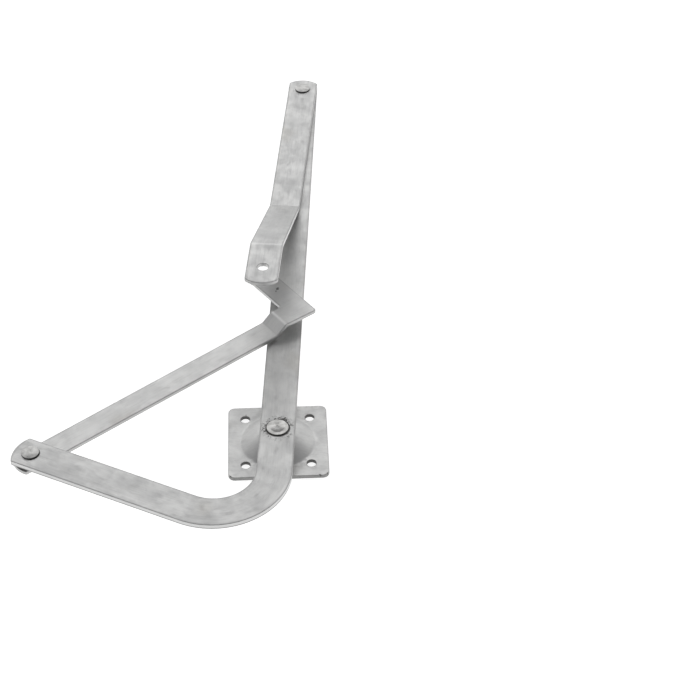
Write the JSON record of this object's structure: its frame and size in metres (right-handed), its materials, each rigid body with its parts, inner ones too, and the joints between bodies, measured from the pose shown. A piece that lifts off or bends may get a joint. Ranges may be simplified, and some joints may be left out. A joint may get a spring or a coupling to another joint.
{
  "type": "roof bracket",
  "caption": "Folding riveted flat-bar bracket: screw plate with raised boss, bent crank lever, cranked upper arm and joggled lower link, each ending in a bolt tab.",
  "frame": {"origin": "on the main pivot's axis, in the back face of the base plate", "axes": "+Z out of the plate through the stack of bars; +Y along the plate's edge towards the lever's far end; the short leg turns towards -X"},
  "size_m": [0.2373, 0.5467, 0.0863],
  "materials": {
    "zinc_bar": "zinc plated, dull, slightly mottled",
    "zinc_sheet": "zinc plated, dull",
    "rivet_steel": "bright, peened",
    "washer_steel": "zinc plated, dull"
  },
  "bodies": {
    "plate": {"base_plate": "zinc_sheet"},
    "lever": {"lever": "zinc_bar", "pivot_rivet": "rivet_steel", "pivot_spacer": "washer_steel", "pivot_backing_washer": "washer_steel"},
    "arm": {"upper_arm": "zinc_bar", "top_rivet": "rivet_steel", "top_spacer": "washer_steel", "top_backing_washer": "washer_steel"},
    "link": {"lower_link": "zinc_bar", "end_rivet": "rivet_steel", "end_spacer": "washer_steel", "end_backing_washer": "washer_steel"}
  },
  "joints": [
    {"name": "lever_pivot", "type": "hinge", "parent": "plate", "child": "lever", "pos_m": [0, 0, 0.0147], "axis": [0, 0, 1], "continuous": true},
    {"name": "upper_arm_pivot", "type": "hinge", "parent": "lever", "child": "arm", "pos_m": [0.03059, 0.43743, 0.0181], "axis": [0, 0, 1], "continuous": true},
    {"name": "lower_link_pivot", "type": "hinge", "parent": "lever", "child": "link", "pos_m": [-0.17915, -0.0179, 0.012], "axis": [0, 0, 1], "range_deg": [-8, 260]}
  ]
}
